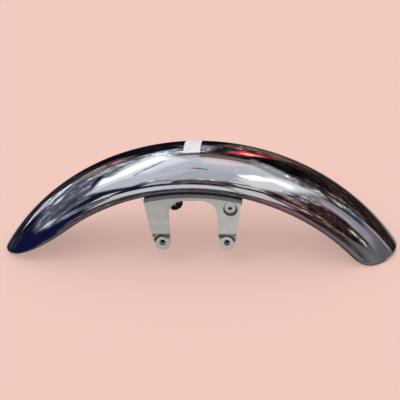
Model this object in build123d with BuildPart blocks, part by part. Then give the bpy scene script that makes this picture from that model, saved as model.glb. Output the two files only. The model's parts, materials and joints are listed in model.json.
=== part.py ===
from build123d import *
import os
from math import acos, atan2, cos, degrees, radians, sin, sqrt

# Motorcycle front mudguard: a pressed chrome crown with its edge rolled in, on a pressed fork stay.
# Millimetres and degrees. X runs along the mudguard with the nose at -X and the tail at +X,
# -Y is the left side, +Z is up. The origin is on the floor that the two ends stand on.

os.makedirs("parts", exist_ok=True)

# Overall
crest_radius = 330.0  # wheel axis to the top of the crown
height = 150.0  # top of the crown above the floor

# Crown sheet
crown_half_width = 66.2  # where the elliptical section turns vertical
crown_depth = 43.4  # top of the crown down to that level
sheet = 1.2

# Rolled edge and the two ends
edge_bend = 4.0  # outside radius of the roll
edge_return = 10.8  # reach of the rolled-in edge, from the outer face of the sheet
nose_sweep_radius = 404.0
tail_corner_radius = 40.0

# Fork stay
stay_thickness = 3.0
stay_offset = 4.2  # middle of the stay, towards the tail
stay_half_width = 64.3
weld_gap = 0.3  # stay to the underside of the crown
edge_clearance = 0.6  # stay to the rolled edge
hug_angle = 40.0  # where the stay leaves the crown, on its elliptical section
shelf_inner_bend = 1.2
shelf_outer_bend = 4.0
leg_half_track = 71.0  # outer faces of the legs
hole_spacing = 86.0
hole_drop = 112.7  # top of the crown to the bolt holes
bolt_hole_radius = 4.25
pad_radius = 10.8
pad_step = 3.0  # pads lie this far inside the legs
pad_slope = 6.5  # height of the slope between leg and pad
pad_slope_foot = 6.0  # foot of that slope above the bolt hole
pad_bend = 2.0
arch_drop = 51.5  # top of the crown to the top of the opening between the legs
arch_corner = 21.0

# Weld nuts
nut_across_flats = 13.0
nut_height = 12.0
nut_bore_radius = 3.4
nut_chamfer_angle = 30.0  # corners turned off at the free end, measured from that face

# Hose clamp boss, on the left rear leg
boss_radius = 7.0
boss_height = 4.0
boss_along = 6.4  # from the bolt hole below it, towards the tail
boss_margin = 0.3  # flat plate left between the boss and the bend above it
boss_bore_radius = 2.5
boss_chamfer = 0.6
spigot_radius = 4.5
spigot_clearance = 0.1

# Worked out from the sizes above, with heights measured from the wheel axis
stance = crest_radius - height  # down to the floor
axle = Vector(0, 0, -stance)
wheel_axis = Axis(axle, (0, 1, 0))
side_plane = Plane(origin=axle, x_dir=(1, 0, 0), z_dir=(0, -1, 0))
spring_radius = crest_radius - crown_depth  # lower edge, where the section turns vertical
beyond = 1.2 * crest_radius  # past the mudguard in every direction
arch_past = 20  # the crown section is drawn this far past its widest point, then cut back

# The tips are rounded about this point, where the roll touches the crown and the floor
tip_level = stance + edge_bend
tip_radius = crest_radius - edge_bend
tip_reach = sqrt(tip_radius**2 - tip_level**2)
tip_angle = atan2(tip_reach, tip_level)
past_tip = 8  # the crown is turned this far past its tips, then cut back
half_sweep = degrees(tip_angle) + past_tip

# The nose sweep is a circle that runs out of the lower edge and past the rounded tip
sweep_reach = spring_radius + nose_sweep_radius
sweep_angle = tip_angle - acos(
    (sweep_reach**2 + tip_radius**2 - (nose_sweep_radius - edge_bend) ** 2) / (2 * sweep_reach * tip_radius)
)
sweep_centre = Vector(-sweep_reach * sin(sweep_angle), sweep_reach * cos(sweep_angle))
sweep_past_tip = 5

drop_half_width = crown_half_width - edge_return - edge_clearance
shelf_top = spring_radius - edge_clearance
skirt_radius = shelf_top - shelf_outer_bend  # where the stay turns down into its legs
hole_height = crest_radius - hole_drop
arch_height = crest_radius - arch_drop
stay_half_sweep = degrees(atan2(stay_half_width + stay_offset, hole_height))

pad_half_track = leg_half_track - pad_step
pad_inner = pad_half_track - stay_thickness
leg_inner_x = hole_spacing / 2 - pad_radius
leg_top = sqrt(skirt_radius**2 - (stay_half_width + stay_offset) ** 2)


def radial_plane(angle):
    """Plane through the wheel axis: local x along it, local y outwards."""
    turn = radians(angle)
    return Plane(origin=axle, x_dir=(0, 1, 0), z_dir=(cos(turn), 0, -sin(turn)))


def crown_arch(inset):
    """Elliptical crown section, this far inside its outer face."""
    with BuildSketch() as section:
        with BuildLine():
            arc = EllipticalCenterArc(
                (0, spring_radius),
                crown_half_width - inset,
                crown_depth - inset,
                start_angle=-arch_past,
                arc_size=180 + 2 * arch_past,
            )
            Line(arc @ 1, arc @ 0)
        make_face()
    return section.sketch


def rim_outline(inset):
    """Side view of all that lies above the lower edge, this far inside it, from nose to tail."""
    edge_radius = spring_radius + inset
    tail_level = stance + inset
    tail = (sqrt(edge_radius**2 - tail_level**2), tail_level)
    to_tip = Vector(-tip_reach, tip_level) - sweep_centre
    sweep_size = degrees(sweep_angle + atan2(-to_tip.X, -to_tip.Y)) + sweep_past_tip
    with BuildSketch() as outline:
        with BuildLine():
            sweep_arc = CenterArc(
                sweep_centre, nose_sweep_radius - inset, degrees(sweep_angle) - 90, -sweep_size
            )
            ThreePointArc(sweep_arc @ 0, (0, edge_radius), tail)
            Polyline(
                tail,
                (beyond, tail_level),
                (beyond, beyond),
                (-beyond, beyond),
                (-beyond, (sweep_arc @ 1).Y),
                sweep_arc @ 1,
            )
        make_face()
        fillet(outline.vertices().sort_by_distance(tail)[0], tail_corner_radius - inset)
    return outline.sketch


def crown_block(inset):
    """Everything under the crown, this far inside its outer faces, with its lower edge rounded."""
    with BuildPart() as block:
        with BuildSketch(radial_plane(-half_sweep)):
            add(crown_arch(inset))
        revolve(axis=wheel_axis, revolution_arc=2 * half_sweep)
        with BuildSketch(side_plane):
            add(rim_outline(inset))
        extrude(amount=beyond, both=True, mode=Mode.INTERSECT)
        crown_face = block.faces().filter_by(GeomType.REVOLUTION).sort_by(SortBy.AREA)[-1]
        fillet(crown_face.edges(), edge_bend - inset)
    return block.part


def stay_line(inset):
    """One face of the stay's right half in section: crown, drop, shelf under the rolled edge, skirt."""
    with BuildLine() as line:
        hug = EllipticalCenterArc(
            (0, spring_radius),
            crown_half_width - sheet - weld_gap - inset,
            crown_depth - sheet - weld_gap - inset,
            start_angle=90,
            arc_size=hug_angle - 90,
        )
        heading = hug % 1
        drop_bend = (drop_half_width - inset - (hug @ 1).X) / (1 + heading.Y)
        bend = JernArc(hug @ 1, heading, drop_bend, -degrees(atan2(heading.X, -heading.Y)))
        drop = Line(bend @ 1, (drop_half_width - inset, shelf_top + shelf_inner_bend))
        turn_out = JernArc(drop @ 1, (0, -1), shelf_inner_bend + inset, 90)
        shelf = Line(turn_out @ 1, (leg_half_track - shelf_outer_bend, shelf_top - inset))
        turn_down = JernArc(shelf @ 1, (1, 0), shelf_outer_bend - inset, -90)
        Line(turn_down @ 1, (leg_half_track - inset, leg_top - stay_thickness))
    return line.line


def stay_section():
    """Full section of the stay, mirrored about the middle of the mudguard."""
    outer = stay_line(0)
    inner = stay_line(stay_thickness)
    with BuildSketch() as section:
        with BuildLine():
            add(outer)
            add(inner)
            Line(outer @ 0, inner @ 0)
            Line(outer @ 1, inner @ 1)
        make_face()
        mirror(about=Plane.YZ)
    return section.sketch


def leg_outline():
    """Side view of one leg: from the arch level it narrows to the round pad."""
    with BuildSketch() as leg:
        with Locations((hole_spacing / 2, hole_height)):
            Circle(pad_radius)
        with BuildLine():
            Line((leg_inner_x, arch_height), (stay_half_width, arch_height))
        make_hull()
    return leg.sketch


def stay_outline():
    """Side view of the stay: a band above the arch and two tapered legs with round ends."""
    with BuildSketch() as outline:
        with Locations((0, arch_height)):
            Rectangle(2 * stay_half_width, beyond - arch_height, align=(Align.CENTER, Align.MIN))
        add(leg_outline())
        mirror(leg_outline(), about=Plane.YZ)
        for side in (-1, 1):
            corner = (side * leg_inner_x, arch_height)
            fillet(outline.vertices().sort_by_distance(corner)[0], arch_corner)
    return outline.sketch


def leg_section():
    """Front view of the right legs: plate, slope and recessed pad."""
    top = leg_top
    slope_foot = hole_height + pad_slope_foot
    slope_top = slope_foot + pad_slope
    bottom = hole_height - 2 * pad_radius
    with BuildSketch() as section:
        with BuildLine():
            outer = FilletPolyline(
                (leg_half_track, top),
                (leg_half_track, slope_top),
                (pad_half_track, slope_foot),
                (pad_half_track, bottom),
                radius=pad_bend,
            )
            inner = FilletPolyline(
                (leg_half_track - stay_thickness, top),
                (leg_half_track - stay_thickness, slope_top),
                (pad_inner, slope_foot),
                (pad_inner, bottom),
                radius=pad_bend,
            )
            Line(outer @ 0, inner @ 0)
            Line(outer @ 1, inner @ 1)
        make_face()
        mirror(about=Plane.YZ)
    return section.sketch


def pad_plane(side, distance):
    """Plane across the two bolt holes of one side, facing outwards."""
    return Plane(
        origin=(stay_offset, side * distance, hole_height - stance),
        x_dir=(1, 0, 0),
        z_dir=(0, side, 0),
    )


# Crown shell: hollow under the sheet, and open below inside the rolled edge
with BuildPart() as mudguard_shell:
    add(crown_block(0))
    add(crown_block(sheet), mode=Mode.SUBTRACT)
    with BuildSketch(radial_plane(-half_sweep)):
        add(crown_arch(edge_return))
    revolve(axis=wheel_axis, revolution_arc=2 * half_sweep, mode=Mode.SUBTRACT)

mudguard_shell.part.label = "mudguard_shell"
export_step(mudguard_shell.part, "parts/mudguard_shell.step")

# Fork stay: a saddle under the crown with two joggled legs on each side
boss_x = stay_offset + hole_spacing / 2 + boss_along
boss_height_over_axle = sqrt(skirt_radius**2 - boss_x**2) - boss_radius - boss_margin
boss_plane = Plane(
    origin=(boss_x, -leg_half_track, boss_height_over_axle - stance),
    x_dir=(1, 0, 0),
    z_dir=(0, -1, 0),
)

with BuildPart() as fork_stay:
    with BuildSketch(radial_plane(-stay_half_sweep)):
        add(stay_section())
    revolve(axis=wheel_axis, revolution_arc=2 * stay_half_sweep)
    with BuildSketch(radial_plane(0)):
        add(leg_section())
    extrude(amount=stay_half_width + stay_offset, both=True)
    with BuildSketch(side_plane):
        with Locations((stay_offset, 0)):
            add(stay_outline())
    extrude(amount=beyond, both=True, mode=Mode.INTERSECT)
    for side in (-1, 1):
        with BuildSketch(pad_plane(side, pad_half_track)):
            with GridLocations(hole_spacing, 0, 2, 1):
                Circle(pad_radius)
        extrude(amount=pad_step, mode=Mode.SUBTRACT)
        with BuildSketch(pad_plane(side, pad_inner)):
            with GridLocations(hole_spacing, 0, 2, 1):
                Circle(bolt_hole_radius)
        extrude(amount=stay_thickness, mode=Mode.SUBTRACT)
    with BuildSketch(boss_plane):
        Circle(spigot_radius + spigot_clearance)
    extrude(amount=-stay_thickness, mode=Mode.SUBTRACT)

fork_stay.part.label = "fork_stay"
export_step(fork_stay.part, "parts/fork_stay.step")

# Weld nuts: one behind each bolt hole
with BuildPart() as weld_nuts:
    with BuildSketch(pad_plane(-1, pad_inner)):
        with GridLocations(hole_spacing, 0, 2, 1):
            RegularPolygon(nut_across_flats / 2, 6, major_radius=False)
    extrude(amount=-nut_height)
    with BuildSketch(pad_plane(-1, pad_inner - nut_height)):
        with GridLocations(hole_spacing, 0, 2, 1):
            Circle(nut_across_flats / 2)
    extrude(amount=nut_height, taper=nut_chamfer_angle - 90, mode=Mode.INTERSECT)
    with BuildSketch(pad_plane(-1, pad_inner)):
        with GridLocations(hole_spacing, 0, 2, 1):
            Circle(nut_bore_radius)
    extrude(amount=-nut_height, mode=Mode.SUBTRACT)
    mirror(about=Plane.XZ)

weld_nuts.part.label = "weld_nuts"
export_step(weld_nuts.part, "parts/weld_nuts.step")

# Hose clamp boss: welded on the left rear leg, its spigot through the plate
with BuildPart() as hose_boss:
    with BuildSketch(boss_plane):
        Circle(boss_radius)
    extrude(amount=boss_height)
    chamfer(hose_boss.edges().group_by(Axis.Y)[0], boss_chamfer)
    with BuildSketch(boss_plane):
        Circle(spigot_radius)
    extrude(amount=-stay_thickness)
    with BuildSketch(boss_plane):
        Circle(boss_bore_radius)
    extrude(amount=boss_height + stay_thickness, both=True, mode=Mode.SUBTRACT)

hose_boss.part.label = "hose_boss"
export_step(hose_boss.part, "parts/hose_boss.step")
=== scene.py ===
import json
import math
from collections import namedtuple

import bmesh
import bpy
from mathutils import Matrix, Vector, noise
from mathutils.bvhtree import BVHTree


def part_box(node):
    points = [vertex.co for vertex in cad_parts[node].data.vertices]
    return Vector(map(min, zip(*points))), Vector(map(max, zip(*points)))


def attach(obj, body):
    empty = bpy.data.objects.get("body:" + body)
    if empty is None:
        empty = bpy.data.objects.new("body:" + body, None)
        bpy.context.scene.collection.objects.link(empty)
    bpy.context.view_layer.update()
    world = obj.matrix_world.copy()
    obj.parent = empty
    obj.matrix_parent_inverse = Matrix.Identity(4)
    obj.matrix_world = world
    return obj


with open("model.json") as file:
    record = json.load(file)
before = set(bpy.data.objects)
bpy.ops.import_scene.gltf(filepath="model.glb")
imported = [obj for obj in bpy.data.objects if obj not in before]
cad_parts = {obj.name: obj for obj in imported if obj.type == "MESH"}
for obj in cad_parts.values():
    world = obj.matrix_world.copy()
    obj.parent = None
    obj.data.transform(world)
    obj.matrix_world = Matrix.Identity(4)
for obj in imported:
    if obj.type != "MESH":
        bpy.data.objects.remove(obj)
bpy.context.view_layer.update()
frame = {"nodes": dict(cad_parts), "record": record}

# Motorcycle front mudguard: finishes, paper label, studio and camera.
# Metres and degrees. Colours are written as they show on screen, 0 to 255, and a window's may be brighter.
# Where no comment says otherwise, a pair is where something starts to change and where that ends.

MOUNTS = {mount["name"]: Vector(mount["pos_m"]) for mount in frame["record"]["mounts"]}
BOLTS = [MOUNTS[f"{side}_{end}_bolt"] for side in ("left", "right") for end in ("front", "rear")]
SCREW = MOUNTS["hose_clamp_screw"]
NUT_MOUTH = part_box("weld_nuts")[1].y
LEG_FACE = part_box("fork_stay")[0].y  # the left legs' outer side
SIDE_VIEW = (1.0, 0.0, 1.0)  # leaves out what lies across the mudguard

# Crown section, for the finishes that follow it
CREST_RADIUS = 0.330
CROWN_HALF_WIDTH = 0.0662
CROWN_DEPTH = 0.0434
AXLE_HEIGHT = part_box("mudguard_shell")[1].z - CREST_RADIUS
TURNED_IN = (-0.9, -0.55)  # cosines between the wheel side's faces and the crown's outside

# Hairlines
HAIRLINE_TURNS = ((0.3, 0.1, 0.5), (1.2, 0.7, -0.4), (0.2, 1.4, 1.1))
HAIRLINE_STRETCH = (1.0, 24.0, 24.0)
HAIRLINE_PATCH_SCALE = 55.0
HAIRLINE_PATCH_EDGE = (0.5, 0.68)

# Painted shade and marks on the stay
RAGGED_GRAIN = 420.0
PATCH_GRAIN = 260.0
PAD_SHADE_STRENGTH = (0.35, 0.65, 0.4, 0.95)  # the noise where it changes, and its two strengths
EDGE_DARKENING_STRENGTH = (0.3, 0.7, 0.08, 0.24)
PAD_SHADE_HEIGHT = 0.0115  # of the painted shade across the legs, on the slope over the bolt holes
PAD_SHADE_FADE = (0.001, 0.0045)
PAD_SHADOW_RADIUS = 0.0103  # of the painted shadow along a pad's upper edge, from its bolt hole
PAD_SHADOW_FADE = (0.0013, 0.0026)
PAD_SHADOW_FOOT = (0.0035, 0.0085)  # heights over the bolt hole
PAD_SHADOW_OUTER = (0.003, 0.008)  # from the bolt hole to the leg's outer side
PAD_SHADOW_DROP = 0.0045  # how much lower it reaches there
EDGE_DARKENING = (0.084, 0.101)  # heights
SHELF_SLOPE = (0.07, 0.24)  # upward share of the normal on the shelf under the crown's edge, which gets painted shade
SHELF_INNER = (0.055, 0.058)  # its two sides, across the mudguard
SHELF_OUTER = (0.0655, 0.069)
BOSS_SHADOW_DROP = 0.003  # middle of the painted shadow round the boss, below its screw hole
BOSS_SHADOW_REACH = 0.0088
BOSS_SHADOW_FADE = 0.0016
BOSS_SHADOW_THINS = (-0.004, 0.006)  # heights over the screw hole
SCRATCH_HEIGHT = 0.0607
SCRATCH_MIDDLE = -0.041
SCRATCH_WIDTH = (0.0001, 0.0006)
SCRATCH_HALF_LENGTH = (0.008, 0.011)
STAY_PALER = (-0.03, 0.04)  # along the mudguard
# where the painted shade on the stay's wheel side thins, along the mudguard
STAY_SHADE_THINS = (0.02, 0.05)

# Painted shade and light on the boss and inside the threads
NUT_SHADE = (0.0025, 0.006)  # depths below a nut's mouth
BOSS_FOOT = (0.0, 0.0022)  # heights over the leg's face
BOSS_BORE_LIT = (0.0015, 0.0035)
BOSS_UNDERSIDE = (0.0035, 0.0075)  # drops below the screw hole
BOSS_BORE_EDGE = (0.0026, 0.0028)  # radii round it
BOSS_BORE_WALL = (0.1, 0.6)  # upward share of the normal on the bore wall that gets a painted highlight

# Paper label over the crest
LABEL_LENGTH = 0.0225  # along the mudguard
LABEL_NEAR = -0.0235  # its two ends, across the mudguard
LABEL_FAR = 0.034
LABEL_OFFSET = -0.0005  # its middle, towards the tail
LABEL_TURN = 2.0
LABEL_THICKNESS = 0.00012
LABEL_LIFT = 0.0002
LABEL_CRINKLE = 0.00012
LABEL_CRINKLE_GRAIN = 160.0
LABEL_LOOSE_SHARE = 0.14  # of each half, at its end
LABEL_END_LIFT = (0.00016, 0.00056)  # at the end's nose corner and its tail corner
LABEL_STEPS = (24, 56)  # along and across
LABEL_DROP_HEIGHT = 0.05  # over the crest, from where it is laid down

# Camera
CAMERA_AZIMUTH = 7.21
CAMERA_ELEVATION = 23.09
CAMERA_ROLL = -2.89
CAMERA_DISTANCE = 1.3628
CAMERA_TARGET = Vector((0.0056, 0.0, 0.0694))
CAMERA_LENS = 89.3
CAMERA_SENSOR = 36.0

# Studio
FLOOR_COLOUR = (243, 203, 191)
FLOOR_BOUNCE = (214, 212, 210)  # colour of the floor for bounced light
FLOOR_GLOW = 0.5  # its own share of the floor's light, which keeps the shadow pale
FLOOR_SIZE = 12.0
SOFT_LIGHT = 0.75
KEY_LIGHT = 1.1
KEY_ANGLE = 50.0
KEY_TURN = (42.0, -18.0, 0.0)

# What stands around the mudguard and shows in its chrome: a soft panel for each, on an upright wall.
# Azimuth 0 is the camera's side and 90 the tail's. Elevation is that of the panel's middle.
Panel = namedtuple("Panel", "name colour azimuth half_width elevation half_height softness")
CLUTTERED_PANELS = (
    Panel("left shelves", (88, 92, 104), -95, 62, 31, 13, 2),
    Panel("left haze", (172, 176, 186), -114, 12, 46, 5.5, 3),
    Panel("left rail", (40, 44, 58), -92, 56, 45, 2, 1),
    Panel("left drapes", (26, 28, 42), -42, 22, 33, 6.5, 1),
    Panel("left tan screen", (132, 116, 110), -143, 7, 22, 10, 2),
    Panel("left sill", (34, 34, 44), -140, 28, -10, 26, 2),
    Panel("left door", (14, 14, 20), -167, 12, 12, 22, 2),
    Panel("left pale wall", (164, 167, 177), -148, 20, 42, 9, 2),
    Panel("left lamps", (206, 210, 220), -133, 6, 11, 6, 2),
    Panel("bench shade", (62, 46, 42), 3, 7, 39, 2, 1.5),
    Panel("brown shelves", (50, 36, 33), 72, 46, 37, 17, 2),
    Panel("tan boxes", (124, 94, 78), 38, 5, 29, 14, 2),
    Panel("box shade", (40, 28, 24), 42, 2.5, 26, 8, 1.5),
    Panel("mauve boxes", (136, 108, 110), 24, 5, 22, 4, 1.5),
    Panel("right clutter", (116, 108, 110), 66, 29, 49, 4.5, 1),
    Panel("pale box", (206, 190, 176), 71, 4, 22.5, 4.5, 1),
    Panel("brown fence", (44, 33, 30), 148, 24, 12, 24, 3),
    Panel("fence rail", (124, 102, 91), 132.5, 2.5, 24, 6, 1.5),
    Panel("black tarp", (15, 14, 18), 154, 14, 37, 11, 1),
    Panel("back roof", (150, 150, 156), 140, 22, 55, 7, 2),
    Panel("right haze", (150, 147, 148), 122, 7, 46, 6, 2),
    Panel("right pale strip", (134, 130, 138), 121, 5, 30, 6, 1.5),
    Panel("dark corner", (40, 38, 45), 182, 9, 32, 13, 2),
    Panel("back pane", (130, 126, 136), -174, 4, 33, 12, 2),
    Panel("brown sill", (110, 85, 72), 173, 7, 14, 8, 3),
)
PLAIN_PANELS = (
    Panel("right floor", (97, 95, 98), 82, 44, -20, 40, 2),
    Panel("right floor's shine", (124, 123, 125), 66, 14, 6, 5, 7),
    Panel("left navy cloth", (16, 22, 56), -72, 39, -22, 40, 1.5),
    Panel("front wall", (206, 208, 212), -14, 17, 16.5, 8, 2),
    Panel("left tins", (230, 232, 236), -119, 4, 24.5, 1.8, 1),
    Panel("left jars", (206, 208, 214), -73, 6, 21.5, 2, 1),
    Panel("left blue rag", (58, 60, 122), -112, 2, 17.5, 3, 1),
    Panel("left red tag", (150, 48, 60), -152, 1.5, 20, 2.5, 1),
    Panel("grey tin", (180, 184, 194), -21, 5, 38, 5, 1),
    Panel("front lintel", (194, 192, 188), 16, 6, 40, 4, 1.5),
    Panel("bench top", (112, 90, 80), -5, 8, 37, 3.5, 1),
    Panel("bench end", (74, 62, 58), 11, 5, 46.5, 2, 1),
    Panel("bench edge", (28, 23, 23), 18, 8, 32, 1.6, 1),
    Panel("pale post", (220, 204, 206), -40, 5, 29, 3, 1),
    Panel("light column", (206, 204, 200), 10, 6, 19, 10, 2),
    Panel("front floor", (112, 108, 109), 30, 18, -28, 24, 3),
    Panel("right kerb", (44, 31, 29), 21, 9, 6, 5, 4),
    Panel("mauve mat", (140, 92, 106), 9, 6, -2, 6, 2),
    Panel("red tin", (176, 44, 60), 80, 3, 42, 1.5, 1),
    Panel("pale cartons", (204, 206, 216), 52, 3.5, 50.5, 1.1, 0.8),
    Panel("blue carton", (150, 162, 196), 61, 2.2, 47.5, 1.0, 0.7),
    Panel("dark crate", (20, 20, 26), 56, 7, 20, 3, 1.5),
    Panel("lilac cloth", (150, 142, 155), 97, 12, 33, 14, 4),
    Panel("lilac fold", (176, 168, 182), 93, 3, 37, 8, 3),
    Panel("lilac hem", (114, 110, 119), 116, 9, 19, 4, 2),
    Panel("teal strip", (44, 102, 130), 118, 2.5, 25.5, 4, 1),
    Panel("tail pale strip", (172, 174, 176), 122, 1.5, 14, 7, 1.2),
    Panel("back ground", (160, 150, 148), 138, 38, -26, 16, 3),
    Panel("left ground", (146, 152, 160), -154, 9, -26, 12, 2),
    Panel("brown crate", (134, 102, 80), 170, 17, 57.5, 4, 1.5),
    Panel("red cloth", (240, 60, 92), 171, 4.2, 34, 7, 1.2),
    Panel("red cloth's sheen", (270, 214, 166), 169.5, 2.2, 34, 3, 1),
    Panel("front roof", (176, 179, 186), 5, 34, 66, 16, 8),
    Panel("left front roof", (196, 199, 208), -58, 22, 49, 6, 2),
    Panel("pale wall", (232, 212, 220), 168, 22, 72, 6, 3),
    Panel("right glow", (222, 222, 222), 68, 46, 62, 8, 4),
    Panel("right window", (300, 300, 300), 62, 24, 69.5, 4, 2),
    Panel("right window's foot", (300, 300, 300), 88, 12, 61.5, 4.5, 3),
    Panel("left glow", (232, 235, 242), -118, 40, 61, 12, 4),
    Panel("left window", (300, 300, 300), -125, 28, 56, 4.5, 2),
    Panel("left window's foot", (290, 290, 290), -102, 9, 50, 4, 2),
    Panel("roof rail", (112, 116, 126), -112, 32, 65, 0.6, 0.5),
    Panel("roof beam", (92, 95, 102), -35, 34, 84.5, 1.4, 1),
    Panel("red lid", (170, 52, 70), 31, 1.5, 46.5, 0.9, 0.5),
    Panel("white cartons", (204, 210, 226), 73, 3, 50, 1.2, 0.8),
)
PANEL_WOBBLE = (5.0, 4.0)  # sway of their edges, sideways and up
PANEL_WOBBLE_SCALE = 5.0

# Their backing, from straight down to straight up
BACKING = (
    (-90, (72, 62, 60)),
    (-55, (88, 80, 80)),
    (-20, (84, 80, 82)),
    (10, (66, 58, 58)),
    (38, (50, 46, 50)),
    (48, (70, 68, 74)),
    (52, (180, 182, 190)),
    (62, (200, 203, 210)),
    (90, (186, 189, 197)),
)
BACKING_TILT = 4.0  # the bright roof reaches this much lower on the camera's side

# Small things among the cluttered panels
CLUTTER_ALONG = 7.0  # their size, in degrees along and across the mudguard
CLUTTER_ACROSS = 16.0
CLUTTER_FINER = 3.0  # how much smaller the small ones are
CLUTTER_TOP = (48.0, 56.0)  # elevations
CLUTTER_SHARE = (0.9, 0.04)  # below the first elevation and over the second
NOSE_STRETCH = 0.5  # share by which they are drawn out on the nose's side
# Dark ones, then light ones: the noise where the tone changes, and the two tones
LARGE_THINGS = ((0.40, 0.45, 0.3, 1.0), (0.56, 0.61, 1.0, 2.4))
SMALL_THINGS = ((0.39, 0.43, 0.35, 1.0), (0.57, 0.61, 1.0, 2.8))
NOISE_MEAN = (0.5, 0.5, 0.5)  # of a noise's colour


def screen(colour):
    """Linear colour, with alpha, of one written as it shows on screen."""
    shares = [part / 255 for part in colour]
    linear = [s / 12.92 if s <= 0.04045 else ((s + 0.055) / 1.055) ** 2.4 for s in shares]
    return (*linear, 1.0)


class Graph:
    """Short ways to add and wire the nodes of one tree."""

    def __init__(self, tree):
        self.tree = tree

    def put(self, value, socket):
        """Wires a socket to another, or sets its value."""
        if isinstance(value, bpy.types.NodeSocket):
            self.tree.links.new(value, socket)
        else:
            socket.default_value = value

    def put_all(self, values, sockets):
        for value, socket in zip(values, sockets):
            self.put(value, socket)

    def add(self, kind, inputs=None, **settings):
        node = self.tree.nodes.new("ShaderNode" + kind)
        for name, value in settings.items():
            setattr(node, name, value)
        for name, value in (inputs or {}).items():
            self.put(value, node.inputs[name])
        return node

    def group(self, tree, **inputs):
        return self.add("Group", inputs, node_tree=tree).outputs

    def math(self, operation, *values):
        node = self.add("Math", operation=operation)
        self.put_all(values, node.inputs)
        return node.outputs[0]

    def gap(self, first, second):
        """How far two values are apart."""
        return self.math("ABSOLUTE", self.math("SUBTRACT", first, second))

    def total(self, base, *shares):
        """A base value and a share of each mask."""
        for mask, share in shares:
            base = self.math("ADD", base, self.math("MULTIPLY", mask, share))
        return base

    def fade(self, value, low, high, start=0.0, end=1.0):
        """Smooth step from start at low to end at high."""
        limits = {"Value": value, "From Min": low, "From Max": high, "To Min": start, "To Max": end}
        return self.add("MapRange", limits, interpolation_type="SMOOTHSTEP").outputs["Result"]

    def vector(self, operation, *values):
        node = self.add("VectorMath", operation=operation)
        self.put_all(values, node.inputs)
        return node.outputs["Value" if operation in ("DOT_PRODUCT", "LENGTH", "DISTANCE") else "Vector"]

    def scaled(self, vector, factor):
        return self.add("VectorMath", {0: vector, "Scale": factor}, operation="SCALE").outputs["Vector"]

    def split(self, vector):
        return self.add("SeparateXYZ", {"Vector": vector}).outputs

    def place(self):
        """Place on the part."""
        return self.add("TexCoord").outputs["Object"]

    def upward(self):
        """Upward share of the surface's normal."""
        return self.split(self.add("NewGeometry").outputs["Normal"])["Z"]

    def around(self, place, point):
        """Distance from the line that runs through a point, across the mudguard."""
        beside = self.vector("MULTIPLY", self.vector("SUBTRACT", place, point), SIDE_VIEW)
        return self.vector("LENGTH", beside)

    def blend(self, share, first, second):
        """Mix of two colours, through the Mix node's colour sockets."""
        node = self.add("Mix", data_type="RGBA")
        self.put_all((share, first, second), [node.inputs[index] for index in (0, 6, 7)])
        return node.outputs[2]

    def shaders(self, share, first, second):
        """Mix of two shaders."""
        node = self.add("MixShader")
        self.put_all((share, first, second), node.inputs)
        return node.outputs[0]

    def cloud(self, place, scale, detail=3.0, rough=0.55):
        return self.add("TexNoise", {"Vector": place, "Scale": scale, "Detail": detail, "Roughness": rough})

    def emboss(self, shader, height, strength, depth):
        """Gives a shader a fine relief."""
        bump = self.add("Bump", {"Height": height, "Strength": strength, "Distance": depth})
        self.put(bump.outputs[0], shader.inputs["Normal"])


def new_group(name, inputs, outputs):
    """Shader node group with named sockets: its tree, and the sockets seen from inside."""
    tree = bpy.data.node_groups.new(name, "ShaderNodeTree")
    for direction, sockets in (("INPUT", inputs), ("OUTPUT", outputs)):
        for label, kind in sockets.items():
            tree.interface.new_socket(label, in_out=direction, socket_type="NodeSocket" + kind)
    entry = tree.nodes.new("NodeGroupInput")
    leave = tree.nodes.new("NodeGroupOutput")
    return tree, Graph(tree), entry.outputs, leave.inputs


def make_hairlines():
    """Fine straight scratches in three directions, gathered in patches."""
    tree, g, given, out = new_group(
        "Hairlines", {"Position": "Vector", "Scale": "Float", "Width": "Float"}, {"Mask": "Float"}
    )
    place = given["Position"]
    total = 0.0
    for turn in HAIRLINE_TURNS:
        turned = g.add("Mapping", {"Vector": place, "Rotation": turn, "Scale": HAIRLINE_STRETCH})
        lines = g.cloud(turned.outputs[0], given["Scale"], 1.0).outputs["Fac"]
        total = g.math("MAXIMUM", total, g.fade(g.gap(lines, 0.5), 0.0, given["Width"], 1.0, 0.0))
    patches = g.fade(g.cloud(place, HAIRLINE_PATCH_SCALE).outputs["Fac"], *HAIRLINE_PATCH_EDGE)
    g.put(g.math("MULTIPLY", total, patches), out["Mask"])
    return tree


def make_mottle():
    """Slow change of tone over a surface, from 0 to 1."""
    tree, g, given, out = new_group("Mottle", {"Position": "Vector", "Scale": "Float"}, {"Tone": "Float"})
    broad = g.cloud(given["Position"], given["Scale"], 4.0, 0.6).outputs["Fac"]
    g.put(g.fade(broad, 0.3, 0.7), out["Tone"])
    return tree


def make_ragged_shade():
    """Ragged painted shade round one point."""
    tree, g, given, out = new_group(
        "Ragged shade",
        {"Position": "Vector", "Centre": "Vector", "Reach": "Float", "Fade": "Float"},
        {"Mask": "Float"},
    )
    uneven = g.math("SUBTRACT", g.cloud(given["Position"], RAGGED_GRAIN).outputs["Fac"], 0.5)
    ragged = g.math("MULTIPLY", uneven, given["Fade"])
    distance = g.math("ADD", g.vector("DISTANCE", given["Position"], given["Centre"]), ragged)
    far = g.math("ADD", given["Reach"], given["Fade"])
    g.put(g.fade(distance, given["Reach"], far, 1.0, 0.0), out["Mask"])
    return tree


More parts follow.
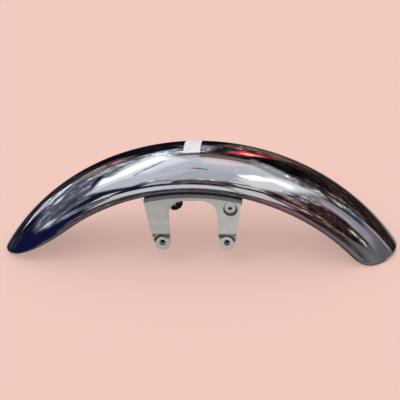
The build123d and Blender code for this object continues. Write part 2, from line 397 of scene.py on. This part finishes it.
def make_wheel_side():
    """1 on the faces that look towards the wheel, 0 on the outer ones."""
    tree, g, given, out = new_group("Wheel side", {"Position": "Vector"}, {"Mask": "Float"})
    from_axle = g.vector("SUBTRACT", given["Position"], (0.0, 0.0, AXLE_HEIGHT))
    flat = g.vector("MULTIPLY", from_axle, SIDE_VIEW)
    rise = g.math("SUBTRACT", g.vector("LENGTH", flat), CREST_RADIUS - CROWN_DEPTH)
    slope = g.math("DIVIDE", g.math("MAXIMUM", rise, 0.0), CROWN_DEPTH**2)
    upwards = g.scaled(g.vector("NORMALIZE", flat), slope)
    sideways = g.vector("MULTIPLY", from_axle, (0.0, CROWN_HALF_WIDTH**-2, 0.0))
    outwards = g.vector("NORMALIZE", g.vector("ADD", upwards, sideways))
    facing = g.vector("DOT_PRODUCT", g.add("NewGeometry").outputs["Normal"], outwards)
    g.put(g.fade(facing, *TURNED_IN, 1.0, 0.0), out["Mask"])
    return tree


HAIRLINES = make_hairlines()
MOTTLE = make_mottle()
RAGGED_SHADE = make_ragged_shade()
WHEEL_SIDE = make_wheel_side()


def new_material(name):
    """Material, its graph and its shader."""
    material = bpy.data.materials.new(name)
    material.use_nodes = True
    g = Graph(material.node_tree)
    shader = material.node_tree.nodes["Principled BSDF"]
    return material, g, shader


def chrome_plate():
    """Bright plate with a faint press ripple, hairlines, haze and a dull wheel side."""
    material, g, shader = new_material("chrome_plate")
    place = g.place()
    inside = g.group(WHEEL_SIDE, Position=place)["Mask"]
    tone = g.group(MOTTLE, Position=place, Scale=26.0)["Tone"]
    lines = g.group(HAIRLINES, Position=place, Scale=34.0, Width=0.012)["Mask"]

    bright = g.blend(tone, screen((231, 232, 236)), screen((238, 239, 241)))
    dull = g.blend(tone, screen((96, 96, 98)), screen((126, 125, 124)))
    g.put(g.blend(inside, bright, dull), shader.inputs["Base Color"])
    roughness = g.total(0.006, (lines, 0.10), (tone, 0.008), (inside, 0.38))
    g.put(roughness, shader.inputs["Roughness"])
    shader.inputs["Metallic"].default_value = 1.0

    ripple = g.cloud(place, 22.0, 1.5, 0.5).outputs["Fac"]
    g.emboss(shader, ripple, 1.0, 0.00010)
    return material


def pad_slope_shade(g, place):
    """Uneven painted shade across the legs, on the slope over the bolt holes."""
    level = g.gap(g.split(place)["Z"], BOLTS[0].z + PAD_SHADE_HEIGHT)
    uneven = g.fade(g.cloud(place, PATCH_GRAIN).outputs["Fac"], *PAD_SHADE_STRENGTH)
    return g.math("MULTIPLY", g.fade(level, *PAD_SHADE_FADE, 1.0, 0.0), uneven)


def pad_step_shadow(g, place, bolt):
    """Painted shadow along the upper edge of one pad, at the step down to it."""
    along, across, height = g.split(place)
    edge = g.fade(g.gap(g.around(place, bolt), PAD_SHADOW_RADIUS), *PAD_SHADOW_FADE, 1.0, 0.0)
    outwards = g.math("MULTIPLY", g.math("SUBTRACT", along, bolt.x), math.copysign(1.0, bolt.x))
    level = g.math("ADD", height, g.fade(outwards, *PAD_SHADOW_OUTER, 0.0, PAD_SHADOW_DROP))
    above = g.fade(level, bolt.z + PAD_SHADOW_FOOT[0], bolt.z + PAD_SHADOW_FOOT[1])
    same_side = g.math("GREATER_THAN", g.math("MULTIPLY", across, bolt.y), 0.0)
    return g.math("MULTIPLY", edge, g.math("MULTIPLY", above, same_side))


def edge_darkening(g, place):
    """Thin uneven darkening towards the crown's edge."""
    uneven = g.fade(g.cloud(place, PATCH_GRAIN).outputs["Fac"], *EDGE_DARKENING_STRENGTH)
    return g.math("MULTIPLY", g.fade(g.split(place)["Z"], *EDGE_DARKENING), uneven)


def shelf_shade(g, place):
    """Painted shade on the narrow shelf under the crown's edge."""
    across = g.math("ABSOLUTE", g.split(place)["Y"])
    shelf = g.math("MULTIPLY", g.fade(g.upward(), *SHELF_SLOPE), g.fade(across, *SHELF_INNER))
    return g.math("MULTIPLY", shelf, g.fade(across, *SHELF_OUTER, 1.0, 0.85))


def boss_shadow(g, place):
    """Painted shadow on the leg round the boss, thinner above it."""
    centre = (SCREW.x, SCREW.y, SCREW.z - BOSS_SHADOW_DROP)
    ring = g.group(RAGGED_SHADE, Position=place, Centre=centre, Reach=BOSS_SHADOW_REACH, Fade=BOSS_SHADOW_FADE)
    over_screw = g.math("SUBTRACT", g.split(place)["Z"], SCREW.z)
    return g.math("MULTIPLY", ring["Mask"], g.fade(over_screw, *BOSS_SHADOW_THINS, 0.95, 0.35))


def leg_scratch(g, place):
    """Faint level scratch on the left front leg."""
    along, across, height = g.split(place)
    line = g.fade(g.gap(height, SCRATCH_HEIGHT), *SCRATCH_WIDTH, 0.3, 0.0)
    ends = g.fade(g.gap(along, SCRATCH_MIDDLE), *SCRATCH_HALF_LENGTH, 1.0, 0.0)
    left_side = g.math("LESS_THAN", across, 0.0)
    return g.math("MULTIPLY", g.math("MULTIPLY", line, ends), left_side)


def stay_enamel():
    """Satin warm grey, paler towards the tail, with worn lines and a scratch, darkening towards the crown's
    edge, and painted shade over the pads, on the shelf, round the boss and on the wheel side.
    """
    material, g, shader = new_material("stay_enamel")
    place = g.place()
    inside = g.group(WHEEL_SIDE, Position=place)["Mask"]
    tone = g.group(MOTTLE, Position=place, Scale=48.0)["Tone"]
    lines = g.group(HAIRLINES, Position=place, Scale=60.0, Width=0.02)["Mask"]
    along = g.split(place)["X"]
    darkening = pad_slope_shade(g, place)
    for bolt in BOLTS:
        darkening = g.math("MAXIMUM", darkening, pad_step_shadow(g, place, bolt))
    for mark in (edge_darkening, shelf_shade, boss_shadow, leg_scratch):
        darkening = g.math("MAXIMUM", darkening, mark(g, place))

    greyed = g.blend(tone, screen((184, 183, 179)), screen((198, 197, 193)))
    pale = g.blend(tone, screen((200, 200, 196)), screen((212, 212, 208)))
    clean = g.blend(g.fade(along, *STAY_PALER), greyed, pale)
    worn = g.blend(g.math("MULTIPLY", lines, 0.4), clean, screen((220, 219, 216)))
    # Painted shade over the pads, on the shelf and round the boss, with the darkening near the crown's edge
    # and the scratch
    darkened = g.blend(g.math("MULTIPLY", darkening, 0.94), worn, screen((40, 34, 32)))
    # Painted shade on the wheel side, thinning towards the tail
    wheel_side_shade_colour = g.blend(tone, screen((40, 38, 38)), screen((62, 59, 57)))
    wheel_side_shade_share = g.math("MULTIPLY", inside, g.fade(along, *STAY_SHADE_THINS, 1.0, 0.3))
    g.put(g.blend(wheel_side_shade_share, darkened, wheel_side_shade_colour), shader.inputs["Base Color"])
    g.put(g.total(0.36, (tone, 0.12), (darkening, 0.3)), shader.inputs["Roughness"])
    shader.inputs["Metallic"].default_value = 0.25

    peel = g.cloud(place, 900.0, 2.0).outputs["Fac"]
    g.emboss(shader, peel, 0.6, 0.00003)
    return material


def nut_steel():
    """Dull plated steel, with painted shade on the wheel side and deep in the thread."""
    material, g, shader = new_material("nut_steel")
    place = g.place()
    inside = g.group(WHEEL_SIDE, Position=place)["Mask"]
    tone = g.group(MOTTLE, Position=place, Scale=90.0)["Tone"]
    lines = g.group(HAIRLINES, Position=place, Scale=120.0, Width=0.03)["Mask"]

    plain = g.blend(tone, screen((176, 174, 168)), screen((198, 195, 188)))
    worn = g.blend(lines, plain, screen((212, 210, 204)))
    depth = g.math("SUBTRACT", NUT_MOUTH, g.math("ABSOLUTE", g.split(place)["Y"]))
    dark = g.math("MAXIMUM", inside, g.fade(depth, *NUT_SHADE))
    g.put(g.blend(dark, worn, screen((52, 49, 46))), shader.inputs["Base Color"])
    g.put(g.total(0.4, (tone, 0.2)), shader.inputs["Roughness"])
    shader.inputs["Metallic"].default_value = 0.35

    turns = g.add("TexWave", {"Vector": place, "Scale": 250.0}, bands_direction="Y").outputs["Fac"]
    g.emboss(shader, turns, 0.35, 0.0003)
    return material


def boss_enamel():
    """The stay's grey on the boss, rubbed bright in places, with painted shade at its foot and lower side,
    and a screw hole with a painted dark upper wall and a painted highlight on its lower wall.
    """
    material, g, shader = new_material("boss_enamel")
    place = g.place()
    tone = g.group(MOTTLE, Position=place, Scale=80.0)["Tone"]
    lines = g.group(HAIRLINES, Position=place, Scale=90.0, Width=0.03)["Mask"]
    parts = g.split(place)
    height = g.math("SUBTRACT", LEG_FACE, parts["Y"])
    drop = g.math("SUBTRACT", SCREW.z, parts["Z"])

    clean = g.blend(tone, screen((190, 189, 185)), screen((206, 205, 201)))
    worn = g.blend(g.math("MULTIPLY", lines, 0.6), clean, screen((220, 219, 214)))
    # Painted shade at the boss's foot and on its lower side
    foot = g.fade(height, *BOSS_FOOT, 1.0, 0.0)
    underside = g.fade(drop, *BOSS_UNDERSIDE, 0.0, 0.8)
    darkening = g.math("MULTIPLY", g.math("MAXIMUM", foot, underside), 0.6)
    darkened = g.blend(darkening, worn, screen((74, 70, 66)))
    # Painted highlight on the screw hole's upward wall near its mouth, painted dark deeper in
    lit = g.math("MULTIPLY", g.fade(g.upward(), *BOSS_BORE_WALL), g.fade(height, *BOSS_BORE_LIT))
    painted_bore_shading = g.blend(lit, screen((22, 19, 18)), screen((244, 243, 238)))
    bore = g.fade(g.around(place, SCREW), *BOSS_BORE_EDGE, 0.9, 0.0)
    g.put(g.blend(bore, darkened, painted_bore_shading), shader.inputs["Base Color"])
    g.put(g.total(0.34, (tone, 0.14)), shader.inputs["Roughness"])
    shader.inputs["Metallic"].default_value = 0.3
    return material


def label_paper():
    """Plain white paper with a soft fibre."""
    material, g, shader = new_material("label_paper")
    place = g.place()
    tone = g.group(MOTTLE, Position=place, Scale=160.0)["Tone"]
    g.put(g.blend(tone, screen((226, 223, 229)), screen((240, 238, 241))), shader.inputs["Base Color"])
    g.put(g.total(0.7, (tone, 0.15)), shader.inputs["Roughness"])
    fibre = g.cloud(place, 1400.0).outputs["Fac"]
    g.emboss(shader, fibre, 0.5, 0.00005)
    return material


def dress(node, material):
    """Gives a CAD node its finish."""
    mesh = frame["nodes"][node].data
    mesh.materials.clear()
    mesh.materials.append(material)


def add_mesh(name, mesh_builder, material):
    """Object from a bmesh, smooth shaded."""
    mesh = bpy.data.meshes.new(name)
    mesh_builder.to_mesh(mesh)
    mesh_builder.free()
    mesh.materials.append(material)
    for face in mesh.polygons:
        face.use_smooth = True
    thing = bpy.data.objects.new(name, mesh)
    bpy.context.scene.collection.objects.link(thing)
    return thing


def paper_label(material):
    """Blank strip of paper over the crest, laid on the shell from above, its ends a little loose."""
    shell = frame["nodes"]["mudguard_shell"].data
    tree = BVHTree.FromPolygons([v.co for v in shell.vertices], [p.vertices for p in shell.polygons])
    along_steps, across_steps = LABEL_STEPS
    middle = Vector((LABEL_OFFSET, 0.0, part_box("mudguard_shell")[1].z + LABEL_DROP_HEIGHT))
    turn = Matrix.Rotation(math.radians(LABEL_TURN), 3, "Z")
    nose_lift, tail_lift = LABEL_END_LIFT
    builder = bmesh.new()
    rows = []
    for j in range(across_steps + 1):
        across = j / across_steps
        from_end = 1.0 - abs(across - 0.5) * 2
        loose = max(0.0, 1.0 - from_end / LABEL_LOOSE_SHARE) ** 2
        row = []
        for i in range(along_steps + 1):
            along = i / along_steps
            sideways = LABEL_NEAR + across * (LABEL_FAR - LABEL_NEAR)
            spot = turn @ Vector(((along - 0.5) * LABEL_LENGTH, sideways, 0.0)) + middle
            hit, normal, _, _ = tree.ray_cast(spot, Vector((0.0, 0.0, -1.0)))
            crinkle = abs(noise.noise(spot * LABEL_CRINKLE_GRAIN)) * LABEL_CRINKLE
            end_lift = loose * (nose_lift + along * (tail_lift - nose_lift))
            row.append(builder.verts.new(hit + normal * (LABEL_LIFT + crinkle + end_lift)))
        rows.append(row)
    for lower, upper in zip(rows, rows[1:]):
        for k in range(along_steps):
            builder.faces.new((lower[k], lower[k + 1], upper[k + 1], upper[k]))
    label = add_mesh("paper_label", builder, material)
    solid = label.modifiers.new("thickness", "SOLIDIFY")
    solid.thickness = LABEL_THICKNESS
    solid.offset = 1.0
    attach(label, "root")


def studio_floor():
    """Pale floor, clear from below. Bounced light is neutral, and the chrome mirrors the panels instead."""
    material, g, shader = new_material("studio_floor")
    seen = g.add("LightPath").outputs["Is Camera Ray"]
    lit = [part * (1.0 - FLOOR_GLOW) for part in screen(FLOOR_COLOUR)[:3]]
    g.put(g.blend(seen, screen(FLOOR_BOUNCE), (*lit, 1.0)), shader.inputs["Base Color"])
    shader.inputs["Emission Color"].default_value = screen(FLOOR_COLOUR)
    g.put(g.math("MULTIPLY", seen, FLOOR_GLOW), shader.inputs["Emission Strength"])
    shader.inputs["Roughness"].default_value = 1.0
    shader.inputs["Specular IOR Level"].default_value = 0.0
    below = g.add("NewGeometry").outputs["Backfacing"]
    one_sided = g.shaders(below, shader.outputs[0], g.add("BsdfTransparent").outputs[0])
    g.put(one_sided, material.node_tree.nodes["Material Output"].inputs["Surface"])

    builder = bmesh.new()
    bmesh.ops.create_grid(builder, x_segments=1, y_segments=1, size=FLOOR_SIZE / 2)
    floor = add_mesh("studio_floor", builder, material)
    floor.visible_glossy = False


def add_clutter(g, parts, colour):
    """Breaks a colour up into small dark and light things."""
    from_tail = g.math("DEGREES", g.math("ARCTAN2", parts["Z"], parts["X"]))
    past_top = g.math("MAXIMUM", g.math("SUBTRACT", from_tail, 90.0), 0.0)
    along = g.math("SUBTRACT", from_tail, g.math("MULTIPLY", past_top, NOSE_STRETCH))
    across = g.math("DEGREES", g.math("ARCSINE", parts["Y"]))
    counts = {"X": g.math("DIVIDE", along, CLUTTER_ALONG), "Y": g.math("DIVIDE", across, CLUTTER_ACROSS)}
    spots = g.add("CombineXYZ", counts).outputs["Vector"]
    large = g.cloud(spots, 1.0, 3.0, 0.6).outputs
    small = g.cloud(spots, CLUTTER_FINER, 3.0, 0.65).outputs
    shade = g.math("MULTIPLY", *(g.fade(large["Fac"], *tones) for tones in LARGE_THINGS))
    speck = g.math("MULTIPLY", *(g.fade(small["Fac"], *tones) for tones in SMALL_THINGS))
    tinted = g.vector("MULTIPLY", colour, g.vector("ADD", small["Color"], NOISE_MEAN))
    return g.scaled(tinted, g.math("MULTIPLY", shade, speck))


def surroundings(g):
    """Colour of the studio in each direction: the backing, cluttered panels over it, then plain ones."""
    direction = g.add("TexCoord").outputs["Generated"]
    parts = g.split(direction)
    uneven = g.cloud(direction, PANEL_WOBBLE_SCALE, 2.0).outputs["Color"]
    sway = g.vector("MULTIPLY", g.vector("SUBTRACT", uneven, NOISE_MEAN), (*PANEL_WOBBLE, 0.0))
    wobble = g.split(sway)
    heading = g.math("ARCTAN2", parts["X"], g.math("MULTIPLY", parts["Y"], -1.0))
    azimuth = g.math("ADD", g.math("DEGREES", heading), wobble["X"])
    elevation = g.math("ADD", g.math("DEGREES", g.math("ARCSINE", parts["Z"])), wobble["Y"])

    def hang(panels, colour):
        """Lays panels over a colour, each over the ones before it."""
        for panel in panels:
            turned = g.math("WRAP", g.math("SUBTRACT", azimuth, panel.azimuth), 180.0, -180.0)
            beside = g.math("SUBTRACT", g.math("ABSOLUTE", turned), panel.half_width)
            facing = math.radians(panel.azimuth)
            ahead = g.vector("DOT_PRODUCT", direction, (math.sin(facing), -math.cos(facing), 0.0))
            wall = g.math("DEGREES", g.math("ARCTAN2", parts["Z"], ahead))
            off_middle = g.gap(g.math("ADD", wall, wobble["Y"]), panel.elevation)
            outside = g.math("MAXIMUM", beside, g.math("SUBTRACT", off_middle, panel.half_height))
            mask = g.fade(outside, -panel.softness, panel.softness, 1.0, 0.0)
            colour = g.blend(mask, colour, screen(panel.colour))
        return colour

    tilt = g.math("MULTIPLY", g.math("COSINE", heading), BACKING_TILT)
    share = g.math("DIVIDE", g.math("ADD", g.math("ADD", elevation, tilt), 90.0), 180.0)
    ramp = g.add("ValToRGB", {"Fac": share})
    stops = ramp.color_ramp.elements
    for index, (height, colour) in enumerate(BACKING):
        position = (height + 90.0) / 180.0
        stop = stops[index] if index < 2 else stops.new(position)
        stop.position = position
        stop.color = screen(colour)
    colour = hang(CLUTTERED_PANELS, ramp.outputs["Color"])
    clutter_share = g.fade(elevation, *CLUTTER_TOP, *CLUTTER_SHARE)
    colour = g.blend(clutter_share, colour, add_clutter(g, parts, colour))
    return hang(PLAIN_PANELS, colour)


def studio_light():
    """Even soft light, a key light without a mirror image, and the surroundings for the chrome."""
    world = bpy.data.worlds.new("studio")
    bpy.context.scene.world = world
    world.use_nodes = True
    world.node_tree.nodes.clear()
    g = Graph(world.node_tree)
    path = g.add("LightPath").outputs
    plain = g.add("Background", {"Color": (1.0, 1.0, 1.0, 1.0), "Strength": SOFT_LIGHT})
    mirrored = g.add("Background", {"Color": surroundings(g), "Strength": 1.0})
    backdrop = g.add("Background", {"Color": screen(FLOOR_COLOUR), "Strength": 1.0})
    lit = g.shaders(path["Is Glossy Ray"], plain.outputs[0], mirrored.outputs[0])
    seen = g.shaders(path["Is Camera Ray"], lit, backdrop.outputs[0])
    g.put(seen, g.add("OutputWorld").inputs["Surface"])

    key = bpy.data.lights.new("key_light", "SUN")
    key.energy = KEY_LIGHT
    key.angle = math.radians(KEY_ANGLE)
    lamp = bpy.data.objects.new("key_light", key)
    lamp.rotation_euler = [math.radians(angle) for angle in KEY_TURN]
    lamp.visible_glossy = False
    bpy.context.scene.collection.objects.link(lamp)


def camera():
    """Camera at the photograph's angle, turned about its own axis by the roll."""
    a, e, r = (math.radians(angle) for angle in (CAMERA_AZIMUTH, CAMERA_ELEVATION, CAMERA_ROLL))
    back = Vector((math.sin(a) * math.cos(e), -math.cos(a) * math.cos(e), math.sin(e)))
    level = Vector((math.cos(a), math.sin(a), 0.0))
    upright = back.cross(level)
    right = level * math.cos(r) + upright * math.sin(r)
    up = back.cross(right)
    data = bpy.data.cameras.new("camera")
    data.lens = CAMERA_LENS
    data.sensor_width = CAMERA_SENSOR
    eye = bpy.data.objects.new("camera", data)
    turn = Matrix((right, up, back)).transposed().to_4x4()
    eye.matrix_world = Matrix.Translation(CAMERA_TARGET + back * CAMERA_DISTANCE) @ turn
    bpy.context.scene.collection.objects.link(eye)
    bpy.context.scene.camera = eye


dress("mudguard_shell", chrome_plate())
dress("fork_stay", stay_enamel())
dress("weld_nuts", nut_steel())
dress("hose_boss", boss_enamel())
paper_label(label_paper())
studio_floor()
studio_light()
camera()
bpy.context.scene.view_settings.view_transform = "Standard"
